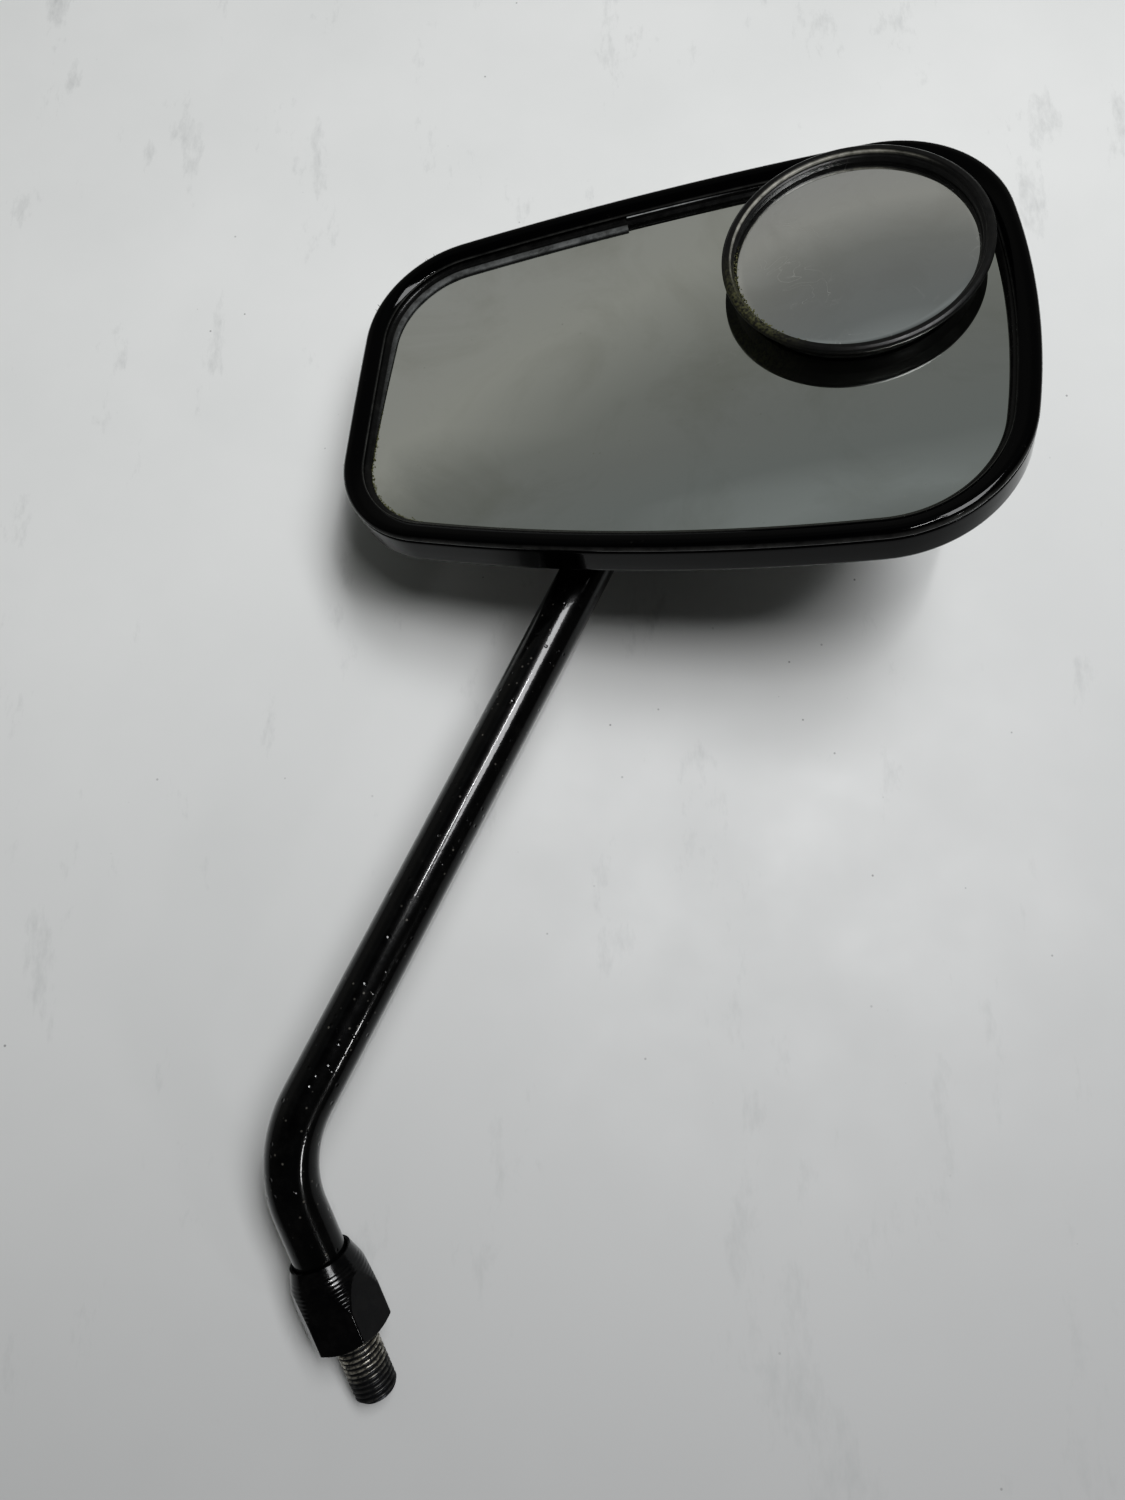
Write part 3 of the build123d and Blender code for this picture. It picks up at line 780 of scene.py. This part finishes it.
def gasket_piece():
    """One strip round the glass: its end left of the joint lies low and wide, the other high and narrow."""
    start = joint_index()
    order = OUTLINE[start:] + OUTLINE[:start + 1]
    lengths = [0.0]
    for (here, _), (after, _) in zip(order, order[1:]):
        lengths.append(lengths[-1] + (after - here).length)
    whole = lengths[-1]
    rows = []
    wear_and_highlight = []
    for (point, normal), length in zip(order, lengths):
        wide = 1 - smooth_step(length, *WIDE_FADE)
        high = smooth_step(length, whole - HIGH_FADE[0], whole - HIGH_FADE[1])
        row = []
        for plain, low, tall in zip(GASKET_PLAIN, GASKET_WIDE, GASKET_HIGH):
            inset, level = Vector(plain).lerp(Vector(low), wide).lerp(Vector(tall), high)
            flat = point - normal * inset
            row.append((flat.x, flat.y, GLASS + level))
        rows.append(row)
        # Painted highlight lines: on the low end's lip, and on the high end's lip near the joint
        wear_and_highlight += [GASKET_HIGHLIGHT.get(index, 0.0) * wide for index in range(len(row))]
        wear_and_highlight[GASKET_LIP - len(row)] += smooth_step(length, whole - LIP_FADE[0], whole - LIP_FADE[1])
    vertices, faces = skin(rows, cap_start=True, cap_end=True)
    piece = new_piece("glass_seal", vertices, faces, HEAD, RUBBER, sharp=40.0)
    set_wear_and_highlight(piece, wear_and_highlight)
    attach(piece, "head")
    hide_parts("glass_gasket")


def glass_piece():
    """Flat glass with a rounded edge under the seal."""
    profile = rounded([(4.2, -3.0), (4.2, 0.0), (40.0, 0.0)], [None, 0.3, None], 3)
    rows = [ring_at(inset, level) for inset, level in profile[:-1]]
    vertices, faces = skin(rows, cap_start=True, cap_end=True)
    piece = new_piece("mirror_plate", vertices, faces, HEAD, MIRROR)
    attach(piece, "head")
    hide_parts("main_glass")


gasket_piece()
glass_piece()


# -------- blind-spot mirror

SPOT_CROWN = 200.0
SPOT_GLASS_R = 27.2
SPOT_EDGE = 3.9
SPOT_THICK = 1.8
SPOT_GROUND = 0.15
LENS_RINGS = 28
LENS_SEGMENTS = 160
CUP_SEGMENTS = 240
# (radius, height, corner radius) round the cup, from its foot up the wall, over the lip and inside
CUP_PROFILE = [
    (26.9, 0.8, 0.2), (27.5, 2.0, None), (27.9, 3.7, 0.8), (29.3, 4.75, 0.5), (30.0, 5.2, 0.35),
    (30.0, 6.1, 0.4), (29.3, 6.5, 0.4), (28.35, 6.5, 0.12), (28.1, 6.12, 0.12), (27.95, 6.05, 0.15),
    (27.8, 5.3, 0.25), (27.35, 5.0, 0.2), (27.25, 3.2, None), (27.25, 2.1, None), (23.6, 2.1, None),
    (23.6, 1.8, None), (0.5, 1.8, None), (0.5, 0.8, None),
]
# Painted highlight on the lip's inner edge: its radii, level, strength, middle angle and fade
LIP_RADII = (27.85, 28.2)
LIP_LEVEL = 5.8
LIP_HIGHLIGHT = 0.8
LIP_HIGHLIGHT_ANGLE = radians(125.0)
LIP_HIGHLIGHT_FADE = (0.4, 1.5)


def lip_highlight(segment):
    """Painted highlight on the cup lip's inner edge, most at the upper left and gone a quarter turn from
    there.
    """
    off = (2 * pi * segment / CUP_SEGMENTS - LIP_HIGHLIGHT_ANGLE + pi) % (2 * pi) - pi
    return (1 - smooth_step(abs(off), *LIP_HIGHLIGHT_FADE)) * LIP_HIGHLIGHT


def spot_cup():
    """Cup with an undercut wall, a flat lip and two small steps inside it."""
    corners = [(radius, height) for radius, height, _ in CUP_PROFILE]
    profile = rounded(corners, [corner for _, _, corner in CUP_PROFILE], 4)
    vertices, faces = lathe(profile, CUP_SEGMENTS)
    piece = new_piece("spot_cup", vertices, faces, SPOT, SATIN, sharp=40.0)
    # Painted highlight on the lip's inner edge near the top
    wear_and_highlight = []
    for radius, height in profile:
        lip = LIP_RADII[0] < radius < LIP_RADII[1] and height > LIP_LEVEL
        wear_and_highlight += [lip_highlight(segment) if lip else 0.0 for segment in range(CUP_SEGMENTS)]
    set_wear_and_highlight(piece, wear_and_highlight)
    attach(piece, "head")
    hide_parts("spot_bezel")


def crown_drop(radius):
    """How far the convex face lies below its crown at a radius."""
    return SPOT_CROWN - sqrt(SPOT_CROWN**2 - radius**2)


def spot_lens():
    """Convex mirror disc with a small ground edge."""
    crown = SPOT_EDGE + crown_drop(SPOT_GLASS_R)
    back = SPOT_EDGE - SPOT_THICK
    radii = [SPOT_GLASS_R * ring / LENS_RINGS for ring in range(1, LENS_RINGS + 1)]
    top = [(radius, crown - crown_drop(radius)) for radius in radii]
    top[-1] = (SPOT_GLASS_R, top[-1][1] - SPOT_GROUND)
    vertices, faces = lathe([(0.01, crown), *top, (SPOT_GLASS_R, back), (0.01, back)], LENS_SEGMENTS)
    piece = new_piece("spot_lens", vertices, faces, SPOT, SPOT_MIRROR, sharp=40.0)
    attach(piece, "head")
    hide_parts("spot_glass")


spot_cup()
spot_lens()


# -------- dirt in the seams

GRAIN_ROUGH = 0.35
SEAM_INSET = 6.25
SEAM_SPREAD = 0.28
SEAM_SLIP = 1.2
SEAM_COUNT = 14
SEAM_LEVEL = 0.06
CUP_TRIES = 900
CUP_ARC = (165.0, 300.0)
CUP_THICKEST = radians(222.0)
CUP_REACH = radians(75.0)
CUP_SPREAD = 0.55
DISC_LEVEL = 3.95
STEP_LEVEL = 4.2
STEP_SLOPE = 1.3


def grains(name, places, low, high, seed):
    """Crumbs of dry moss: small rough lumps at the given places."""
    draw = random.Random(seed)
    tool = bmesh.new()
    for place in places:
        size = draw.uniform(low, high)
        turn = Matrix.Rotation(draw.uniform(0, 2 * pi), 4, Vector((draw.random(), draw.random(), 1.0)))
        shape = Matrix.Diagonal((size, size * draw.uniform(0.5, 1.3), size * draw.uniform(0.35, 0.8), 1.0))
        matrix = Matrix.Translation(place) @ turn @ shape
        bmesh.ops.create_icosphere(tool, subdivisions=1, radius=1.0, matrix=matrix)
    for vertex in tool.verts:
        shift = Vector((draw.uniform(-1, 1), draw.uniform(-1, 1), draw.uniform(-1, 1)))
        vertex.co += shift * low * GRAIN_ROUGH
    tool.transform(HEAD)
    mesh = bpy.data.meshes.new(name)
    tool.to_mesh(mesh)
    tool.free()
    mesh.materials.append(MOSS)
    piece = bpy.data.objects.new(name, mesh)
    scene.collection.objects.link(piece)
    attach(piece, "head")


def seam_places():
    """Places along the seal's edge on the inner side and the lower inner corner of the glass."""
    draw = random.Random(11)
    places = []
    for point, normal in OUTLINE:
        side = Vector((-normal.y, normal.x))
        amount = smooth_step(-normal.x, 0.35, 0.9) * smooth_step(-point.y, -34.0, 5.0)
        corner = smooth_step(-point.y, 18.0, 33.0) * smooth_step(-point.x, 40.0, 60.0)
        for _ in range(int(SEAM_COUNT * max(amount * 0.8, corner) * draw.uniform(0.3, 1.0))):
            slip = draw.uniform(-SEAM_SLIP, SEAM_SLIP)
            draw.random()  # Unused, but keeps the later draws, and so the grains, in place
            flat = point - normal * (SEAM_INSET + abs(draw.gauss(0.0, SEAM_SPREAD))) + side * slip
            places.append(Vector((flat.x, flat.y, GLASS + SEAM_LEVEL)))
    return places


def cup_places():
    """Places on the lower inner edge of the cup, thick at the lower left and thinning to both sides."""
    draw = random.Random(23)
    places = []
    for _ in range(CUP_TRIES):
        angle = radians(draw.uniform(*CUP_ARC))
        share = 1 - abs(angle - CUP_THICKEST) / CUP_REACH
        if draw.random() > max(0.0, share) ** 1.3:
            continue
        radius = SPOT_GLASS_R - abs(draw.gauss(0.0, CUP_SPREAD)) + draw.uniform(0.0, 0.6)
        level = DISC_LEVEL if radius < SPOT_GLASS_R else STEP_LEVEL + (radius - SPOT_GLASS_R) * STEP_SLOPE
        flat = SPOT_CENTRE + Vector((cos(angle), sin(angle))) * radius
        places.append(Vector((flat.x, flat.y, GLASS + level)))
    return places


grains("seam_dirt", seam_places(), 0.06, 0.20, 5)
grains("cup_moss", cup_places(), 0.08, 0.30, 7)


# -------- stem

TUBE_R = 5.98
TUBE_BORE_R = 4.0
BEND_R = 28.0
TUBE_START = 20.0
TUBE_END = 31.0
NUT_FACE = 43.5
BEND_CORNER = DOWN_STUD * (-NUT_FACE * MM)
TUBE_SEGMENTS = 72
RUN_STEPS = 60
BEND_STEPS = 20
END_STEPS = 4


def stem_path():
    """(point, direction) along the tube's centre line in metres, and the axis it is bent about."""
    turn = UP_STEM.angle(-DOWN_STUD)
    reach = BEND_R * MM * tan(turn / 2)
    start = BALL - UP_STEM * TUBE_START * MM
    bend_start = BEND_CORNER + UP_STEM * reach
    bend_end = BEND_CORNER + DOWN_STUD * reach
    end = BEND_CORNER + DOWN_STUD * TUBE_END * MM
    stations = [(start.lerp(bend_start, step / RUN_STEPS), -UP_STEM) for step in range(RUN_STEPS)]
    axis = (-UP_STEM).cross(DOWN_STUD).normalized()
    inward = axis.cross(-UP_STEM).normalized()
    centre = bend_start + inward * BEND_R * MM
    for step in range(BEND_STEPS + 1):
        part = Matrix.Rotation(turn * step / BEND_STEPS, 3, axis)
        stations.append((centre - (part @ inward) * BEND_R * MM, part @ (-UP_STEM)))
    stations += [(bend_end.lerp(end, step / END_STEPS), DOWN_STUD) for step in range(1, END_STEPS + 1)]
    return stations, axis


def tube_rows(stations, axis, radius):
    """Rings of points at a radius round the tube's centre line."""
    rows = []
    for point, way in stations:
        side = way.cross(axis).normalized()
        row = []
        for segment in range(TUBE_SEGMENTS):
            angle = 2 * pi * segment / TUBE_SEGMENTS
            row.append(point + (axis * cos(angle) + side * sin(angle)) * radius * MM)
        rows.append(row)
    return rows


def tube_piece():
    """Bent tube with its bore."""
    stations, axis = stem_path()
    outer = tube_rows(stations, axis, TUBE_R)
    inner = tube_rows(stations, axis, TUBE_BORE_R)
    vertices, faces = skin(outer + inner[::-1], along=True)
    piece = new_piece("bent_tube", vertices, faces, Matrix(), GLOSS_TUBE)
    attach(piece, "stem")
    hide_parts("stem_tube")


NUT_LENGTH = 19.0
NUT_FLATS_R = 8.5
NUT_CORNER_R = 9.815
NUT_WORN_R = NUT_CORNER_R - 0.12
NUT_SEGMENTS = 432
SIXTH = radians(60.0)
# (depth below the nut's top, radius) down the turned outside
NUT_PROFILE = [(0.0, 7.0), (4.4, 8.5), (11.0, 9.8), (18.0, 9.815), (19.0, 8.5)]
# (radius, depth) of the thread's bore and of the recess that the tube stands in
NUT_BORE = [(5.05, NUT_LENGTH), (5.05, 7.5), (6.3, 7.5), (6.3, 0.2), (6.5, 0.0)]
RING_PITCH = 0.9
RING_HEIGHT = 0.028
RING_DEPTHS = (2.0, 12.0)
NUT_INSET = 0.03  # Keeps the rings inside the CAD nut


def nut_start_angle():
    """Angle in the stud's frame of the hexagon corner that the CAD nut is turned to."""
    box_node = frame["nodes"]["lock_nut"]
    tops = []
    for vertex in box_node.data.vertices:
        local = STUD.inverted() @ (box_node.matrix_world @ vertex.co)
        if hypot(local.x, local.y) > NUT_CORNER_R - NUT_INSET:
            tops.append(atan2(local.y, local.x) % SIXTH)
    base = tops[0]
    return base + sum((top - base + SIXTH / 2) % SIXTH - SIXTH / 2 for top in tops) / len(tops)


def turned_radius(depth):
    """Radius of the turned part of the nut at a depth below its top, with fine turning rings."""
    for (low, first), (high, second) in zip(NUT_PROFILE, NUT_PROFILE[1:]):
        if depth <= high:
            radius = first + (second - first) * (depth - low) / (high - low)
            break
    ringed = RING_DEPTHS[0] < depth < RING_DEPTHS[1]
    rings = RING_HEIGHT * sin(2 * pi * depth / RING_PITCH) if ringed else 0.0
    return radius + rings - NUT_INSET


def soft_min(first, second, softness):
    """The smaller of two numbers, with a smooth passage where they are close."""
    share = max(0.0, min(1.0, 0.5 + (second - first) / (2 * softness)))
    return second * (1 - share) + first * share - softness * share * (1 - share)


def nut_depths():
    """Depths of the nut's rings of points: close at its top, and at its lower chamfer."""
    depths = [0.0, 0.15, 0.3] + [0.45 + 0.15 * step for step in range(120)]
    depths = [depth for depth in depths if depth < 17.9] + [17.95 + 0.1 * step for step in range(11)]
    depths[-1] = NUT_LENGTH
    return depths


def nut_piece():
    """Hexagon nut turned to a cone at its upper end, with worn corners and turning rings."""
    start = nut_start_angle()
    rows = [polar_row(radius, depth - NUT_LENGTH, NUT_SEGMENTS) for radius, depth in NUT_BORE]
    for depth in nut_depths():
        turned = turned_radius(depth)

        def radius_at(angle):
            flat = NUT_FLATS_R / cos((angle - start) % SIXTH - SIXTH / 2)
            return soft_min(soft_min(flat, NUT_WORN_R, 0.12), turned, 0.10)

        rows.append(polar_row(radius_at, depth - NUT_LENGTH, NUT_SEGMENTS))
    vertices, faces = skin(rows, along=True)
    piece = new_piece("bullet_nut", vertices, faces, STUD, NUT_BLACK, sharp=60.0)
    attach(piece, "nut")
    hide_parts("lock_nut")


THREAD_PITCH = 1.25
THREAD_ROOT_R = 4.28
STUD_R = 5.0
STUD_TIP = 16.0
STUD_SEGMENTS = 96
STUD_START = -6.0
THREAD_STEP = THREAD_PITCH / 14
THREAD_ROUGH = 0.012
CHAMFER_R = 4.0
CHAMFER_SLOPE = 0.83
TIP_SCALE = 0.93
STUD_INSET = 0.02
PLUG_TOP = 15.0


def thread_radius(phase):
    """Radius of a 60-degree thread at a share of its pitch, with worn crests."""
    off = abs(phase % 1.0 - 0.5) * 2
    height = (off - 0.18) / 0.64
    return THREAD_ROOT_R + (STUD_R - THREAD_ROOT_R) * smooth_step(height, 0.0, 1.0)


def stud_piece():
    """Stud with a right-hand helical thread below the nut and a plug in the tube above it."""
    draw = random.Random(3)
    plug_r = TUBE_BORE_R - STUD_INSET
    plug = [(plug_r, PLUG_TOP - NUT_FACE), (plug_r, TUBE_END - NUT_FACE), (STUD_R - 0.1, TUBE_END - NUT_FACE)]
    rows = [polar_row(radius, level, STUD_SEGMENTS) for radius, level in plug]
    level = STUD_START
    while level < STUD_TIP:
        def radius_at(angle):
            radius = thread_radius(level / THREAD_PITCH - angle / (2 * pi))
            chamfer = CHAMFER_R + (STUD_TIP - level) * CHAMFER_SLOPE
            return min(radius, chamfer) - STUD_INSET + draw.uniform(-THREAD_ROUGH, 0.0)

        rows.append(polar_row(radius_at, level, STUD_SEGMENTS))
        level += THREAD_STEP
    rows.append([(x * TIP_SCALE, y * TIP_SCALE, STUD_TIP) for x, y, _ in rows[-1]])
    vertices, faces = skin(rows, cap_start=True, cap_end=True)
    piece = new_piece("thread_stud", vertices, faces, STUD, THREAD, sharp=50.0)
    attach(piece, "stem")
    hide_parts("threaded_stud")


tube_piece()
nut_piece()
stud_piece()


# -------- pieces kept from the CAD model

KEPT = {
    "ball_stud": PLAIN_STEEL, "nut_seal_ring": RUBBER, "front_liner": NYLON, "rear_liner": NYLON,
    "socket_plate": PLAIN_STEEL, "clamp_plate": PLAIN_STEEL, "clamp_screws": ZINC, "clamp_springs": SPRING,
    "clamp_nuts": ZINC, "plate_screws": ZINC, "plate_washers": ZINC, "glass_pad": FOAM,
    "backing_plate": BACKING, "spot_pad": FOAM,
}
for node_name, finish in KEPT.items():
    materials = frame["nodes"][node_name].data.materials
    materials.clear()
    materials.append(finish)


# -------- stage, light and camera

FLOOR = cad_box[0][2]
TABLE_HALF = 1.5
# Painted light falloff: the table's colour grows paler this way, between two distances in metres
LIGHT_FALLOFF_WAY = Vector((-0.30, 0.95, 0.0))
LIGHT_FALLOFF_SPAN = (-0.16, 0.30)
TABLE_PAINTED_SHADE = (0.47, 0.472, 0.474)
TABLE_CLOUDS = ((0.80, 0.81, 0.80), (0.89, 0.895, 0.885))
TABLE_SCUFF = (0.40, 0.41, 0.41)
TABLE_SPECK = (0.12, 0.12, 0.12)

# Colours of the room by the sine of the height over the horizon
SKY_BANDS = [
    (0.0, (0.20, 0.20, 0.19)), (0.30, (0.27, 0.27, 0.26)), (0.46, (0.285, 0.285, 0.265)),
    (0.60, (0.178, 0.182, 0.172)), (0.68, (0.158, 0.163, 0.158)), (0.765, (0.150, 0.159, 0.157)),
    (0.82, (0.20, 0.215, 0.215)), (0.87, (0.14, 0.15, 0.15)), (0.92, (0.022, 0.023, 0.026)),
]
WALL_WAY = Vector((-0.28, 0.96, 0.0))
WALL_FADE = (-0.1, 0.6)
WALL_DIM = 0.22

EYE = (46.75 * MM, 63.15 * MM, 278.47 * MM)
EYE_TILT = radians(13.95)
LENS = 27.6
SENSOR = 36.0


def table_material():
    """Pale lacquered board with soft clouds, faint scuffs and specks, and painted light falloff: darker near
    the camera, paler towards the far side.
    """
    shader = Shader("pale_table")
    dark, light = TABLE_CLOUDS
    cloud = shader.ramp(shader.noise(7.0, 5.0, 0.6), (0.30, dark), (0.70, light))
    # Painted light falloff across the table, darker on the near side
    cloud = shader.mix(shader.spread(shader.vector("DOT_PRODUCT", LIGHT_FALLOFF_WAY), *LIGHT_FALLOFF_SPAN), TABLE_PAINTED_SHADE, cloud)
    scuffs = shader.above(shader.noise(60.0, 6.0, 0.7, stretch=(1.0, 0.35, 1.0)), 0.60, 0.78)
    colour = shader.mix(shader.times(scuffs, 0.55), cloud, TABLE_SCUFF)
    specks = shader.below(shader.cells(160.0), 0.035, 0.06)
    where = shader.above(shader.noise(30.0, 2.0), 0.55, 0.64)
    colour = shader.mix(shader.times(specks, shader.times(where, 0.7)), colour, TABLE_SPECK)
    rough = shader.ramp(shader.noise(40.0, 4.0), (0.3, 0.45), (0.7, 0.6))
    return shader.finish(colour, rough, shader.bump(shader.noise(500.0, 3.0), 0.05, 0.0002))


def table_top():
    """Plain floor that the mirror lies on."""
    corners = ((-1, -1), (1, -1), (1, 1), (-1, 1))
    vertices = [(x * TABLE_HALF, y * TABLE_HALF, FLOOR) for x, y in corners]
    piece = new_piece("table_top", vertices, [(0, 1, 2, 3)], Matrix(), table_material())


def area_light(name, place, aim, size, power, colour=(1.0, 1.0, 1.0), turn=0.0):
    """Rectangular lamp at a place, aimed at a point and turned about the way it shines."""
    data = bpy.data.lights.new(name, "AREA")
    data.shape = "RECTANGLE"
    data.size, data.size_y = size
    data.energy = power
    data.color = colour
    lamp = bpy.data.objects.new(name, data)
    lamp.location = place
    aimed = (Vector(aim) - Vector(place)).to_track_quat("-Z", "Y").to_matrix()
    lamp.rotation_euler = (aimed @ Matrix.Rotation(turn, 3, "Z")).to_euler()
    scene.collection.objects.link(lamp)


def world_light():
    """Dim room: a grey wall beyond the upper side, a paler band over it and a dark ceiling."""
    world = bpy.data.worlds.new("studio")
    world.use_nodes = True
    scene.world = world
    room = Nodes(world.node_tree, "Generated")
    background = room.tree.nodes["Background"]
    height = room.node("ShaderNodeSeparateXYZ", {"Vector": room.place}).outputs["Z"]
    wall = room.spread(room.vector("DOT_PRODUCT", WALL_WAY), *WALL_FADE, WALL_DIM, 1.0)
    room.link(room.ramp(height, *SKY_BANDS), background.inputs["Color"])
    room.link(wall, background.inputs["Strength"])


def tone_curve():
    """Plain view transform with slightly deeper blacks."""
    view = scene.view_settings
    view.view_transform = "Standard"
    view.use_curve_mapping = True
    combined = view.curve_mapping.curves[3]
    for tone in ((0.03, 0.016), (0.12, 0.117)):
        combined.points.new(*tone)
    view.curve_mapping.update()


def camera():
    """Camera at the photo's place over the lower part of the mirror."""
    data = bpy.data.cameras.new("camera")
    data.sensor_fit = "VERTICAL"
    data.sensor_height = SENSOR
    data.lens = LENS
    data.clip_start = 0.01
    eye = bpy.data.objects.new("camera", data)
    eye.location = EYE
    eye.rotation_euler = (EYE_TILT, 0.0, 0.0)
    scene.collection.objects.link(eye)
    scene.camera = eye


table_top()
world_light()
area_light(
    "strip_light", (0.125, 0.142, 0.62), (0.125, 0.142, 0.0), (0.012, 0.185), 0.70, turn=radians(-20.0)
)
area_light("soft_light", (0.30, 0.295, 0.92), (0.07, 0.20, 0.0), (0.62, 0.24), 6.2, (0.98, 0.99, 1.0))
area_light("side_light", (0.62, -0.36, 0.42), (0.02, 0.03, 0.0), (0.05, 0.05), 0.25)
tone_curve()
camera()
